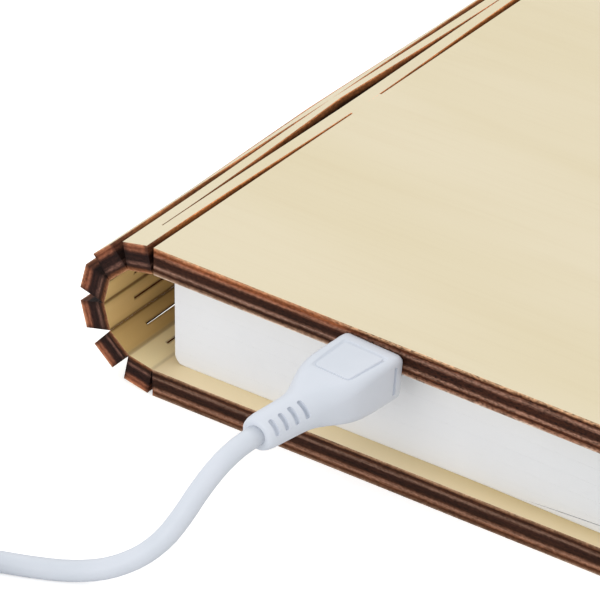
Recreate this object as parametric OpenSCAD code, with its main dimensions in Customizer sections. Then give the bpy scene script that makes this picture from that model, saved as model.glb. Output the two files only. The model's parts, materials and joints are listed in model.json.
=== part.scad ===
// Folding book lamp, closed and lying on its back cover.
// One sheet of plywood makes both covers and the six strips of the spine.
// A white pleated paper bellows is glued between the covers, and the lamp's
// electronics sit inside it, on the front cover. A charging lead is plugged in.
// Origin: middle of the closed book's footprint, on the surface it lies on.
// +X from the spine to the fore-edge, +Y along the spine away from the socket, +Z up.

/* [Book] */
// Length of the book along its spine
book_l = 215; // [213:0.5:217]
// Width of each cover from its first cut line to the fore-edge
cover_w = 157; // [155:0.5:160]
// Thickness of the plywood
ply_t = 4.5; // [4.4:0.1:4.6]

/* [Spine] */
// Distance from one cut line to the next
strip_pitch = 4.4; // [4.3:0.05:4.5]
// Width of the gap between two strips, which the fold presses nearly shut
line_gap = 0.1; // [0.06:0.01:0.14]
// Width of the gap beside the front cover, along its cut line
cover_gap = 0.3; // [0.1:0.05:0.4]
// Width of a strip's own cut
kerf = 0.3; // [0.2:0.05:0.35]
// Fold at a cover's own cut line
fold_outer = 12; // [11:0.5:13]
// Fold at the next cut line in
fold_second = 30; // [29:0.5:31]
// Fold at the third cut line in
fold_third = 34; // [33:0.5:35]
// Fold at the middle cut line
fold_middle = 29; // [28:0.5:30]
// Length of the uncut bridge at each end of a strip's own cut
end_bridge = 7; // [6:0.5:8]
// Length of the uncut bridge at the middle of a strip's own cut
mid_bridge = 7.7; // [7:0.1:8.5]

/* [Bellows] */
// How far the bellows stands back from the covers' edges
setback = 3.3; // [3.2:0.1:4]
// Gap between the spine cut line and the bellows
spine_gap = 1.7; // [1.6:0.1:2.4]
// Depth of the pleats, from the outside to the hollow
pleat_depth = 28; // [26:0.5:29]
// Clearance between packs of pleats
pack_gap = 0.2; // [0.1:0.05:0.3]

/* [Electronics] */
// Distance of the charging socket from the spine cut line
socket_x = 38.2; // [37:0.2:40]
// Depth of the board's pocket in the front cover
pocket_d = 1.8; // [1.8:0.1:2]
// Width of the light module
module_w = 72; // [70:0.5:72]
// Length of the light module
module_l = 120; // [116:1:122]
// Height of the module's tray
tray_h = 6.2; // [6.2:0.1:6.6]
// Rows and columns of light-emitting diodes
led_rows = 6; // [4:1:6]
led_cols = 4; // [3:1:4]

/* [Lead] */
// Diameter of the charging cable
cable_d = 3; // [2.8:0.1:3]
// Middle radius of the coil
coil_r = 16.5; // [16:0.5:16.5]

/* [Hidden] */
$fn = 48;

// The fold at each of the seven cut lines, and the way each panel points when closed.
folds = [fold_outer, fold_second, fold_third, fold_middle, fold_third, fold_second, fold_outer];
function folded(k) = k == 0 ? 0 : folded(k - 1) + folds[k - 1];
function way(k) = 180 - folded(k);
function along(k) = [cos(way(k)), sin(way(k))];
function outward(k) = [-sin(way(k)), cos(way(k))];
// The cut lines' inner edges, where the spine folds: pivot(0) is on the back cover.
function pivot(k) = k == 0 ? [0, ply_t] : pivot(k - 1) + strip_pitch * along(k);
taper = folded(7) - 180;
front_w = (cover_w - pivot(6)[0] - ply_t * sin(taper)) / cos(taper);
spine_x = min([for (k = [1:6], u = [line_gap / 2, strip_pitch - line_gap / 2])
    (pivot(k - 1) + u * along(k) + ply_t * outward(k))[0]]);
mid_x = (cover_w + spine_x) / 2;

// The bellows block, its hollow and its layers. Each layer takes the share of the
// closed height that its body takes of the opening angle.
block_x = [spine_gap, cover_w - setback];
block_y = [setback, book_l - setback];
well_x = [block_x[0] + pleat_depth, block_x[1] - pleat_depth];
well_y = [block_y[0] + pleat_depth, block_y[1] - pleat_depth];
function layer_edge(k) = (folded(k - 1) + folded(k)) / 2 / folded(7);
function gap_top(x) = pivot(6)[1] - tan(taper) * (x - pivot(6)[0]);
function layer_z(f, x) = ply_t + f * (gap_top(x) - ply_t);

// The light module on the front cover, in that cover's own frame.
module_x = 34;
module_y = (book_l - module_l) / 2;
wall = 1.2;
board_t = 1;
boss_in = 4.5;
screw_r = 1;
magnet_r = 4;
magnet_t = 2;
magnet_y = [12, book_l - 12];
fit_gap = 0.1;
control_w = 16.4;
control_y = [1.8, 26.8];
socket_w = 7.5;
socket_h = 2.6;
socket_l = 5.2;
socket_z = pocket_d - board_t - socket_h / 2;
notch_w = socket_w + 1.5;
chip_t = 0.7;
hall_at = [socket_x + 4.5, 21];
wires_x = socket_x + 5;
wire_d = 1;
wire_step = 1.3;

// The micro plug, from the middle of its back face.
plug_at = [socket_x - mid_x, -book_l / 2 - 0.15, gap_top(socket_x) + socket_z];
plug_yaw = -5;
grip_w = 10;
grip_h = 7;
// The cable's route from the strain relief to the coil, and from the coil to the far plug.
route = [[-37.6, -130.5, 19.3], [-38.2, -133.6, 18.5], [-39, -136.6, 16.6], [-39.9, -139.4, 13.8],
    [-41, -141.7, 10.6], [-42.6, -143.8, 7.4], [-45.2, -145.9, 4.6], [-48.8, -148.2, 2.6],
    [-53, -150.4, 1.7], [-57.5, -152.4, 1.5], [-62.2, -154.2, 1.5], [-68, -156.4, 1.5],
    [-74, -158.8, 1.5], [-79, -160.6, 1.6], [-84, -162.5, 1.8]];
coil_at = [-76, -183.5];
coil_outer = coil_r + 2.56 * cable_d;
coil_inner = coil_r - 2.56 * cable_d;
coil_z = [0.5, 6.6];
tail = [[-80, -162.8, 5.1], [-84, -163.4, 4.8], [-88, -164.1, 4.4], [-92, -164.8, 4], [-96, -165.5, 4]];
tail_yaw = 10;

module book_frame() { translate([-mid_x, -book_l / 2, 0]) children(); }

// The frame of panel k of the folded sheet: x along the panel from its first cut
// line, z out of the book. Panel 7 is the front cover.
module on_panel(k) {
    book_frame() translate([pivot(k - 1)[0], 0, pivot(k - 1)[1]]) rotate([0, -way(k), 0]) children();
}

module rounded_corner(r) {
    difference() {
        translate([-r, -r]) square([r + 1, r + 1]);
        translate([-r, -r]) circle(r);
    }
}

// A plywood cover with rounded fore-edge corners, lying from z = 0 to its thickness.
module cover_sheet(w) {
    r = 2;
    linear_extrude(ply_t) difference() {
        square([w, book_l]);
        translate([w, book_l]) rounded_corner(r);
        translate([w, 0]) mirror([0, 1]) rounded_corner(r);
    }
}

module back_cover() {
    color([0.89, 0.83, 0.70]) book_frame() difference() {
        cover_sheet(cover_w);
        for (y = magnet_y) translate([cover_w - 8, y, ply_t - magnet_t - fit_gap])
            cylinder(r = magnet_r + fit_gap, h = magnet_t + 1);
        translate([hall_at[0], hall_at[1], ply_t - magnet_t - fit_gap])
            cylinder(r = 3 + fit_gap, h = magnet_t + 1);
    }
}

module screw_places() {
    for (x = [boss_in, module_w - boss_in], y = [boss_in, module_l - boss_in])
        translate([module_x + x, module_y + y, 0]) children();
}

module front_cover() {
    color([0.89, 0.83, 0.70]) on_panel(7) difference() {
        translate([cover_gap, 0, 0]) cover_sheet(front_w - cover_gap);
        // pocket for the control board, its mouth at the edge and the wires' channel
        translate([socket_x - control_w / 2 - 0.3, control_y[0] - 0.3, -1])
            cube([control_w + 0.6, control_y[1] - control_y[0] + 0.6, pocket_d + 1]);
        translate([socket_x - 4.2, -1, -1]) cube([8.4, 4, pocket_d + 1]);
        translate([wires_x - 0.8, control_y[1], -1]) cube([4.2, 30, pocket_d + 1]);
        for (y = magnet_y) translate([front_w - 8, y, -1])
            cylinder(r = magnet_r + fit_gap, h = magnet_t + fit_gap + 1);
        screw_places() translate([0, 0, -1]) cylinder(r = screw_r + 0.05, h = 3.7);
    }
}

// One strip of the spine, with its own cut down the middle between three bridges.
module spine_strip(k) {
    color([0.86, 0.79, 0.64]) on_panel(k) difference() {
        translate([line_gap / 2, 0, 0]) cube([strip_pitch - line_gap, book_l, ply_t]);
        for (y = [end_bridge, (book_l + mid_bridge) / 2])
            translate([(strip_pitch - kerf) / 2, y, -1])
                cube([kerf, (book_l - mid_bridge) / 2 - end_bridge, ply_t + 2]);
    }
}
module spine_strip_1() { spine_strip(1); }
module spine_strip_2() { spine_strip(2); }
module spine_strip_3() { spine_strip(3); }
module spine_strip_4() { spine_strip(4); }
module spine_strip_5() { spine_strip(5); }
module spine_strip_6() { spine_strip(6); }

// A layer of the block, from height share f0 to f1, held g0 and g1 off its neighbours.
module layer(f0, f1, g0, g1) {
    translate([0, block_y[1], 0]) rotate([90, 0, 0]) linear_extrude(block_y[1] - block_y[0])
        polygon([for (x = block_x) [x, layer_z(f0, x) + g0],
                 for (x = [block_x[1], block_x[0]]) [x, layer_z(f1, x) - g1]]);
}

module well() {
    translate([well_x[0], well_y[0], 0])
        cube([well_x[1] - well_x[0], well_y[1] - well_y[0], 30]);
}

// The pleats that turn with strip k, a flat frame around the hollow.
module pleat_pack(k) {
    color([0.93, 0.94, 0.94]) book_frame() difference() {
        layer(layer_edge(k), layer_edge(k + 1), pack_gap / 2, pack_gap / 2);
        well();
        // room for the charging socket
        if (k == 6) translate([socket_x - notch_w / 2, 0, gap_top(socket_x) - 2.2]) cube([notch_w, 8.5, 3]);
    }
}
module pleat_pack_1() { pleat_pack(1); }
module pleat_pack_2() { pleat_pack(2); }
module pleat_pack_3() { pleat_pack(3); }
module pleat_pack_4() { pleat_pack(4); }
module pleat_pack_5() { pleat_pack(5); }
module pleat_pack_6() { pleat_pack(6); }

module back_end_sheet() {
    color([0.95, 0.95, 0.94]) book_frame() layer(0, layer_edge(1), 0, pack_gap / 2);
}

module front_end_sheet() {
    color([0.95, 0.95, 0.94]) difference() {
        book_frame() layer(layer_edge(7), 1, pack_gap / 2, 0);
        on_panel(7) translate([module_x - 1, module_y - 1, -2]) cube([module_w + 2, module_l + 2, 4]);
        on_panel(7) translate([socket_x - notch_w / 2, 0, -2]) cube([notch_w, 9, 4]);
    }
}

module back_magnets() {
    color("silver") book_frame() for (y = magnet_y)
        translate([cover_w - 8, y, ply_t - magnet_t]) cylinder(r = magnet_r, h = magnet_t);
}

module front_magnets() {
    color("silver") on_panel(7) for (y = magnet_y)
        translate([front_w - 8, y, 0]) cylinder(r = magnet_r, h = magnet_t);
}

module trigger_magnet() {
    color("silver") book_frame() translate([hall_at[0], hall_at[1], ply_t - magnet_t])
        cylinder(r = 3, h = magnet_t);
}

module control_board() {
    color([0.1, 0.4, 0.2]) on_panel(7)
        translate([socket_x - control_w / 2, control_y[0], pocket_d - board_t])
            cube([control_w, control_y[1] - control_y[0], board_t]);
}

// Chips soldered to the control board: place, width and length.
module board_chips() {
    chips = [[-6, 9, 4, 4], [1.5, 8.5, 5, 4], [-6.5, 15, 3, 2], [-1.5, 14.5, 2, 3.5], [-6, 19.5, 5, 4]];
    color([0.12, 0.12, 0.13]) on_panel(7) for (c = chips)
        translate([socket_x + c[0], c[1], pocket_d - board_t - chip_t]) cube([c[2], c[3], chip_t]);
}

module hall_switch() {
    color([0.12, 0.12, 0.13]) on_panel(7)
        translate([hall_at[0] - 2, hall_at[1] - 1.5, pocket_d - board_t - chip_t]) cube([4, 3, chip_t]);
}

// A box centred in x and z on the origin, running in +y.
module bar(w, l, h) { translate([-w / 2, 0, -h / 2]) cube([w, l, h]); }

module usb_socket() {
    color("gainsboro") on_panel(7)
        translate([socket_x, 0.2, socket_z]) {
            difference() {
                bar(socket_w, socket_l, socket_h);
                translate([0, -1, 0]) bar(socket_w - 0.5, socket_l + 0.7, socket_h - 0.56);
            }
            translate([0, 2.2, 0]) bar(3.7, socket_l - 2.4, 0.6);
        }
}

module module_tray() {
    color([0.92, 0.92, 0.91]) on_panel(7) difference() {
        translate([module_x, module_y, -tray_h]) cube([module_w, module_l, tray_h]);
        difference() {
            translate([module_x + wall, module_y + wall, -tray_h - 1])
                cube([module_w - 2 * wall, module_l - 2 * wall, tray_h]);
            screw_places() translate([0, 0, -tray_h - 2]) cylinder(r = 3, h = tray_h + 2);
        }
        screw_places() translate([0, 0, -tray_h - 1]) cylinder(r = screw_r + 0.1, h = tray_h + 2);
        // hole for the wires, over their channel in the cover
        translate([wires_x - 1, module_y + 2.4, -2]) cube([4.6, 5, 3]);
    }
}

module battery_cell() {
    color([0.75, 0.76, 0.78]) on_panel(7)
        translate([module_x + 12, module_y + 20, -1 - 5.02]) cube([50, 60, 5]);
}

module led_board() {
    color([0.95, 0.95, 0.93]) on_panel(7) difference() {
        translate([module_x, module_y, -tray_h - board_t]) cube([module_w, module_l, board_t]);
        screw_places() translate([0, 0, -tray_h - board_t - 1]) cylinder(r = screw_r + 0.15, h = board_t + 2);
    }
}

module led_chips() {
    color([1, 0.93, 0.6]) on_panel(7)
        for (i = [0:led_cols - 1], j = [0:led_rows - 1])
            translate([module_x + module_w * (i + 0.5) / led_cols - 1.4,
                       module_y + module_l * (j + 0.5) / led_rows - 1.75, -tray_h - board_t - 0.7])
                cube([2.8, 3.5, 0.7]);
}

module module_screws() {
    color("silver") on_panel(7) screw_places() difference() {
        union() {
            translate([0, 0, -tray_h - board_t]) cylinder(r = screw_r, h = tray_h + board_t + 2.5);
            translate([0, 0, -tray_h - board_t - 1.2]) cylinder(r = 2, h = 1.2);
        }
        for (a = [0, 90]) rotate(a) translate([-1.2, -0.25, -tray_h - board_t - 2]) cube([2.4, 0.5, 1.4]);
    }
}

// Wires from the control board to the battery and the diodes.
module module_wires() {
    colors = [[0.75, 0.1, 0.1], [0.1, 0.1, 0.1], [0.9, 0.9, 0.9]];
    on_panel(7) for (i = [0:2]) color(colors[i])
        translate([wires_x + wire_step * i, control_y[1] + 0.1, pocket_d - 0.7]) {
            rotate([-90, 0, 0]) cylinder(d = wire_d, h = module_y + 5 - control_y[1], $fn = 16);
            translate([0, module_y + 4.5 - control_y[1], 0]) mirror([0, 0, 1])
                cylinder(d = wire_d, h = 5, $fn = 16);
        }
}

// The outside of the micro plug's metal shell, in line with the socket.
module plug_shell_bar() { on_panel(7) translate([socket_x, -1.65, socket_z]) bar(6.85, 6.4, 1.8); }

module micro_plug_shell() {
    color("gainsboro") difference() {
        plug_shell_bar();
        on_panel(7) translate([socket_x, 0, socket_z]) bar(6.35, 6, 1.3);
    }
}

// A slice of the grip: width, height and corner radius, standing across the plug's axis.
module slice(w, h, r, t = 0.02) {
    rotate([90, 0, 0]) linear_extrude(t) hull()
        for (x = [-1, 1], z = [-1, 1]) translate([x * (w / 2 - r), z * (h / 2 - r)]) circle(r, $fn = 24);
}

// The moulded grip: a block that narrows at its shoulders into a strain relief. Its
// slices stay parallel to the book's end, and their middles drift towards the spine.
module along_grip(d) { translate(plug_at + [d * tan(plug_yaw), -d, 0]) children(); }

module micro_plug_grip() {
    relief_r = 2.75;
    body_l = 8.8;
    shoulder_l = 15;
    relief_l = plug_at[1] - route[0][1];
    end_drift = [route[0][0] - plug_at[0] - relief_l * tan(plug_yaw), 0, route[0][2] - plug_at[2]];
    color([0.87, 0.89, 0.93]) difference() {
        union() {
            hull() {
                along_grip(0) slice(grip_w - 0.6, grip_h - 0.6, 1.1);
                along_grip(0.4) slice(grip_w, grip_h, 1.3);
                along_grip(body_l) slice(grip_w, grip_h, 1.5);
            }
            hull() {
                along_grip(body_l - 0.1) slice(grip_w, grip_h, 1.5);
                along_grip(shoulder_l) slice(2 * relief_r + 0.1, 2 * relief_r + 0.1, relief_r);
            }
            hull() {
                along_grip(shoulder_l - 0.2) slice(2 * relief_r, 2 * relief_r, relief_r - 0.01);
                translate(end_drift) along_grip(relief_l - 1.2) slice(5.4, 5.4, 2.69);
                translate(end_drift) along_grip(relief_l - 0.02) slice(4.6, 4.6, 2.29);
            }
        }
        // recess that holds the metal shell
        plug_shell_bar();
        // panel on the top face
        along_grip(1.6) translate([-3.2, -6.6, grip_h / 2 - 0.2]) cube([6.4, 6.6, 1]);
        // slots that let the relief bend
        for (i = [0:3], side = [-1, 1]) along_grip(shoulder_l + 1.1 + 1.5 * i)
            translate([side * 3.1 - 0.8 - 0.05 * i, 0, -1.3]) cube([1.6, 0.65, 2.6]);
    }
}

// The unit direction of a route at point i. It leaves the relief along -Y.
function unit(v) = v / norm(v);
function heading(p, i, first) = i == 0 ? first
    : i == len(p) - 1 ? unit(p[i] - p[i - 1]) : unit(p[i + 1] - p[i - 1]);

// A round tube along the points p.
module tube(p, d, first, sides = 8) {
    rings = [for (i = [0:len(p) - 1])
        let (f = heading(p, i, first), s = unit(cross(f, [0, 0, 1])), u = cross(s, f))
        for (a = [0:sides - 1]) p[i] + d / 2 * (cos(360 * a / sides) * s + sin(360 * a / sides) * u)];
    n = len(p);
    polyhedron(rings, concat(
        [[for (a = [sides - 1:-1:0]) a]],
        [for (i = [0:n - 2], a = [0:sides - 1]) let (b = (a + 1) % sides)
            [i * sides + a, i * sides + b, (i + 1) * sides + b, (i + 1) * sides + a]],
        [[for (a = [0:sides - 1]) (n - 1) * sides + a]]));
}

module cable_run() {
    color([0.87, 0.89, 0.93]) tube(route, cable_d, [0, -1, 0]);
}

module cable_coil() {
    color([0.87, 0.89, 0.93]) translate([coil_at[0], coil_at[1], 0]) rotate_extrude()
        translate([coil_inner, coil_z[0]]) square([coil_outer - coil_inner, coil_z[1] - coil_z[0]]);
}

module cable_tail() {
    color([0.87, 0.89, 0.93]) tube(tail, cable_d, unit(tail[1] - tail[0]));
}

// A strap around one side of the coil.
module cable_tie() {
    w = 6;
    t = 0.45;
    r0 = coil_inner - 0.65;
    r1 = coil_outer + 0.1;
    color([0.25, 0.26, 0.28]) translate([coil_at[0], coil_at[1], 0]) rotate(250) difference() {
        translate([r0 - t, -w / 2, 0]) cube([r1 - r0 + 2 * t, w, coil_z[1] + 2 * t - 0.3]);
        translate([r0, -w, t]) cube([r1 - r0, 2 * w, coil_z[1] - t + 0.1]);
    }
}

// The far plug lies beside the coil, its axis along -X turned by tail_yaw.
module at_far_plug() {
    translate(tail[len(tail) - 1]) rotate(180 + tail_yaw - 90) children();
}

module usb_a_grip() {
    color([0.87, 0.89, 0.93]) at_far_plug() difference() {
        union() {
            hull() {
                translate([0, 0.02, 0]) slice(4.2, 4.2, 2.09);
                translate([0, 9, 0]) slice(5.6, 5.6, 2.79);
            }
            hull() {
                translate([0, 8.9, 0]) slice(7, 6, 2.5);
                translate([0, 12, 0]) slice(15, 7.8, 2);
                translate([0, 31, 0]) slice(15, 7.8, 2);
            }
        }
        translate([0, 29, 0]) bar(12, 4, 4.5);
    }
}

module usb_a_shell() {
    color("gainsboro") at_far_plug() translate([0, 29, 0]) difference() {
        bar(12, 14, 4.5);
        translate([0, 2.2, 0]) bar(11.4, 14, 3.9);
        for (x = [-2.8, 2.8]) translate([x - 1.1, 8, 1]) cube([2.2, 2.2, 3]);
    }
}

module usb_a_insert() {
    color([0.95, 0.95, 0.95]) at_far_plug() translate([0, 31.2, -0.9]) bar(11.3, 11, 1.9);
}

back_cover();
front_cover();
spine_strip_1();
spine_strip_2();
spine_strip_3();
spine_strip_4();
spine_strip_5();
spine_strip_6();
pleat_pack_1();
pleat_pack_2();
pleat_pack_3();
pleat_pack_4();
pleat_pack_5();
pleat_pack_6();
back_end_sheet();
front_end_sheet();
back_magnets();
front_magnets();
trigger_magnet();
control_board();
board_chips();
hall_switch();
usb_socket();
module_tray();
battery_cell();
led_board();
led_chips();
module_screws();
module_wires();
micro_plug_shell();
micro_plug_grip();
cable_run();
cable_coil();
cable_tail();
cable_tie();
usb_a_grip();
usb_a_shell();
usb_a_insert();
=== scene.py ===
# %% [markdown]
# The lamp is a closed book that lies on its back cover. One sheet of plywood makes both covers and
# the spine, white pleated paper is pressed between them, and a charging lead is plugged into its end.
# The frame gives every size that the solids have: bodies, joints and boxes, all in metres.

# %% The frame
import json
from math import atan2, copysign, cos, pi, radians, sin, sqrt, tan, tau

import bpy
import bmesh
from mathutils import Matrix, Vector


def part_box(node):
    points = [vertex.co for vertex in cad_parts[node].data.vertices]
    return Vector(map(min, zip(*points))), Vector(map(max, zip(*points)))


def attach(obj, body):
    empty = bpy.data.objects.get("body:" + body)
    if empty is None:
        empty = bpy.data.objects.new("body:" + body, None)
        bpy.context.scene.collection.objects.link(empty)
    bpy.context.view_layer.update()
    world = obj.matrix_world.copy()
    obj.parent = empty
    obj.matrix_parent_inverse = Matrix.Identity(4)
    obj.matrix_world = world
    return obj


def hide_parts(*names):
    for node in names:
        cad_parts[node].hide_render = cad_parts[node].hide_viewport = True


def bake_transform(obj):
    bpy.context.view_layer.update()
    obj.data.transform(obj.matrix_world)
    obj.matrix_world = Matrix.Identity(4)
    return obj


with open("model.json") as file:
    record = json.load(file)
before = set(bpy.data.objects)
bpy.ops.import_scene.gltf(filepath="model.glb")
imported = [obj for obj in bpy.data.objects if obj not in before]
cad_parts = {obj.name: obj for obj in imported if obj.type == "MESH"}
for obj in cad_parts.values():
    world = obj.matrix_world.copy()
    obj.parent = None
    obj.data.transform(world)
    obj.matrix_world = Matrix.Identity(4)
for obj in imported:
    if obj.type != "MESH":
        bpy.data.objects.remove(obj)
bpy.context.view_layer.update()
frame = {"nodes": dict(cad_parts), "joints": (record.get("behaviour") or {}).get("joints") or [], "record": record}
MM = 0.001

# %% [markdown]
# The spine's seven folds are joints of the frame, so each cut line's place and the angle that it folds
# by are read from them. The other sizes of the book are measured on the covers.

# %% Sizes of the book
back_lo, back_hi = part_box("back_cover")
HINGE_X, END_Y, FAR_Y = back_lo.x, back_lo.y, back_hi.y
PLY_T = back_hi.z - back_lo.z
folds = [j for j in frame["joints"] if j["name"].startswith("fold_")]
PIVOTS = [Vector(j["pos_m"]) for j in folds]
FOLD = [round(j["range_deg"][1], 2) for j in folds]
CHAIN = ["back_cover"] + [f"spine_{k}" for k in range(1, 7)] + ["front_cover"]
PITCH = (PIVOTS[1] - PIVOTS[0]).length
SPINE_W = 6 * PITCH
BOOK_L = FAR_Y - END_Y
# Strips meet with a hair's gap. A wider cut parts the spine from the front cover.
LINE_GAP = 0.004 * MM
COVER_GAP = 0.3 * MM
# The uncut wood in a strip's middle and at its ends, and the width of its own cuts.
MID_BRIDGE = 7.7 * MM
END_BRIDGE = 6.5 * MM
KERF = 0.2 * MM
print("book length", BOOK_L, "strip pitch", PITCH, "folds", FOLD)


def way(panel):
    """The angle, from +X towards +Z, that a panel of the sheet points in."""
    return radians(180 - sum(FOLD[:panel]))


def from_sheet(panel, along, y, height):
    """A point of the sheet in the closed book. Height is 0 on the inner face."""
    start, angle = PIVOTS[panel - 1], way(panel)
    return Vector((
        start.x + along * cos(angle) - height * sin(angle),
        y,
        start.z + along * sin(angle) + height * cos(angle),
    ))


# %% [markdown]
# A long lens looks at the near corner of the spine, and sees the book's end and the spine's top. It
# comes first, because the cord has to leave the picture at the right place.

# %% Camera
LOOK_AT = Vector((HINGE_X + 25.84 * MM, END_Y, 25.58 * MM))
AZIMUTH, ELEVATION, ROLL = radians(34.691), radians(31.31), radians(0.853)
CAMERA_AWAY = 483.02 * MM
LENS_MM, SENSOR_MM = 210, 36
level = cos(ELEVATION)
toward_camera = Vector((sin(AZIMUTH) * level, -cos(AZIMUTH) * level, sin(ELEVATION)))
bpy.ops.object.camera_add(location=LOOK_AT + toward_camera * CAMERA_AWAY)
camera = bpy.context.object
camera.name = "camera"
turn = (-toward_camera).to_track_quat("-Z", "Y").to_matrix() @ Matrix.Rotation(ROLL, 3, "Z")
camera.rotation_euler = turn.to_euler()
camera.data.lens = LENS_MM
camera.data.sensor_width = SENSOR_MM
camera.data.clip_start = 0.01
bpy.context.scene.camera = camera
bpy.context.scene.view_settings.view_transform = "Standard"
print("camera at", tuple(camera.location))

# %% [markdown]
# The cable is a fixed length of soft round lead. It comes out of the strain relief, drops to the
# surface, crosses the picture and is wound, outside it, into a coil of two layers. The route's points
# are listed, and only the coil's turns are worked out.

# %% The cable's route
CABLE_D = 3 * MM
ROUTE_MM = [(-37.1, -130.5, 19), (-37.9, -133.6, 18.3), (-38.9, -136.6, 16.5), (-39.9, -139.4, 13.8),
            (-41, -141.7, 10.6), (-42.6, -143.8, 7.4), (-45.2, -145.9, 4.6), (-48.8, -148.2, 2.6),
            (-53, -150.4, 1.7), (-57.5, -152.4, 1.5), (-62.2, -154.2, 1.5), (-68, -156.4, 1.5),
            (-74, -158.8, 1.5), (-79, -160.6, 1.6), (-84, -162.5, 1.8)]
TAIL_MM = [(-80, -162.8, 5.1), (-84, -163.4, 4.8), (-88, -164.1, 4.4), (-92, -164.8, 4), (-96, -165.5, 4)]
COIL_MID = Vector((-76, -183.5, 0))
COIL_INNER_MM = 10.5
WHOLE_TURNS, INWARD_TURNS, STEPS_PER_TURN = 7, 4, 24
JOIN_Z_MM, SETTLE_MM, LAYER_MM, LEAVE_MM = 1.8, 0.3, 3, 0.6
SETTLE_TURNS, CLIMB_TURNS, LEAVE_TURNS = 0.15, 0.3, 0.25


def clamped(t):
    return min(max(t, 0), 1)


def smooth_step(t):
    t = clamped(t)
    return t * t * (3 - 2 * t)


def coil_turns():
    """The coil's points: a flat spiral inwards, then one outwards on top of it."""
    joining = Vector(ROUTE_MM[-1]) - COIL_MID
    leaving = Vector(TAIL_MM[0]) - COIL_MID
    start_angle = atan2(joining.y, joining.x)
    end_angle = atan2(leaving.y, leaving.x)
    r_start, r_end = joining.xy.length, leaving.xy.length
    total = WHOLE_TURNS + (end_angle - start_angle) / tau
    points = []
    steps = round(total * STEPS_PER_TURN)
    for step in range(1, steps):
        turned = total * step / steps
        angle = start_angle + tau * turned
        if turned < INWARD_TURNS:
            radius = r_start + (COIL_INNER_MM - r_start) * turned / INWARD_TURNS
        else:
            outwards = (turned - INWARD_TURNS) / (total - INWARD_TURNS)
            radius = COIL_INNER_MM + (r_end - COIL_INNER_MM) * outwards
        height = JOIN_Z_MM - SETTLE_MM * clamped(turned / SETTLE_TURNS)
        height += LAYER_MM * smooth_step((turned - INWARD_TURNS) / CLIMB_TURNS)
        height += LEAVE_MM * clamped((turned - total + LEAVE_TURNS) / LEAVE_TURNS)
        points.append((COIL_MID.x + radius * cos(angle), COIL_MID.y + radius * sin(angle), height))
    return points


def smooth_route(points, spacing, parts=8):
    """Evenly spaced points of the Catmull-Rom curve through the given ones."""
    fine = []
    for i in range(len(points) - 1):
        a, b, c, d = (points[min(max(i + k, 0), len(points) - 1)] for k in (-1, 0, 1, 2))
        for j in range(parts):
            t = j / parts
            fine.append(0.5 * (2 * b + (c - a) * t + (2 * a - 5 * b + 4 * c - d) * t ** 2
                               + (3 * b - a - 3 * c + d) * t ** 3))
    fine.append(points[-1])
    steps = [q - p for p, q in zip(fine, fine[1:])]
    length = sum(step.length for step in steps)
    count = round(length / spacing)
    even, walked, i = [fine[0]], 0, 0
    for k in range(1, count):
        goal = length * k / count
        while walked + steps[i].length < goal:
            walked += steps[i].length
            i += 1
        even.append(fine[i] + steps[i] * ((goal - walked) / steps[i].length))
    return even + [fine[-1]], length


route_mm = [Vector(p) for p in ROUTE_MM + coil_turns() + TAIL_MM]
cable_path, cable_length = smooth_route([p * MM for p in route_mm], 1.5 * MM)
print("cable's points", len(cable_path), "length", round(cable_length, 4))


# %% [markdown]
# A skin is drawn over rings of points, each joined to the next, with the two ends closed. The cable's
# rings stand across its path.

# %% The cable
def new_piece(name, mesh):
    piece = bpy.data.objects.new(name, mesh)
    bpy.context.scene.collection.objects.link(piece)
    return piece


def skin(name, rings):
    """A closed piece over rings that all have the same number of points."""
    mesh = bpy.data.meshes.new(name)
    shape = bmesh.new()
    rings = [[shape.verts.new(point) for point in ring] for ring in rings]
    for one, two in zip(rings, rings[1:]):
        for k in range(len(one)):
            n = (k + 1) % len(one)
            shape.faces.new((one[k], one[n], two[n], two[k]))
    shape.faces.new(rings[0][::-1])
    shape.faces.new(rings[-1])
    bmesh.ops.recalc_face_normals(shape, faces=shape.faces)
    shape.to_mesh(mesh)
    shape.free()
    return new_piece(name, mesh)


def swept_rings(path, radius, first, sides=20):
    """Rings of points across the path. The first stands across the direction first."""
    for i, p in enumerate(path):
        ahead = (path[min(i + 1, len(path) - 1)] - path[i - 1]).normalized() if i else first
        side = ahead.cross(Vector((0, 0, 1))).normalized()
        up = side.cross(ahead)
        angles = [tau * s / sides for s in range(sides)]
        yield [p + radius * (cos(a) * side + sin(a) * up) for a in angles]


cable = skin("cable", swept_rings(cable_path, CABLE_D / 2, Vector((0, -1, 0))))
for face in cable.data.polygons:
    face.use_smooth = len(face.vertices) == 4
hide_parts("cable_run", "cable_coil", "cable_tail")
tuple(cable_path[0])
Vector(ROUTE_MM[9]) * MM
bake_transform(cable)
print("cable's faces", len(cable.data.polygons))

# %% [markdown]
# Finishes are written as sums. A small class wraps a socket, so that adding or multiplying two of them
# adds the Math node that does it, and one method makes all other nodes.


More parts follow.
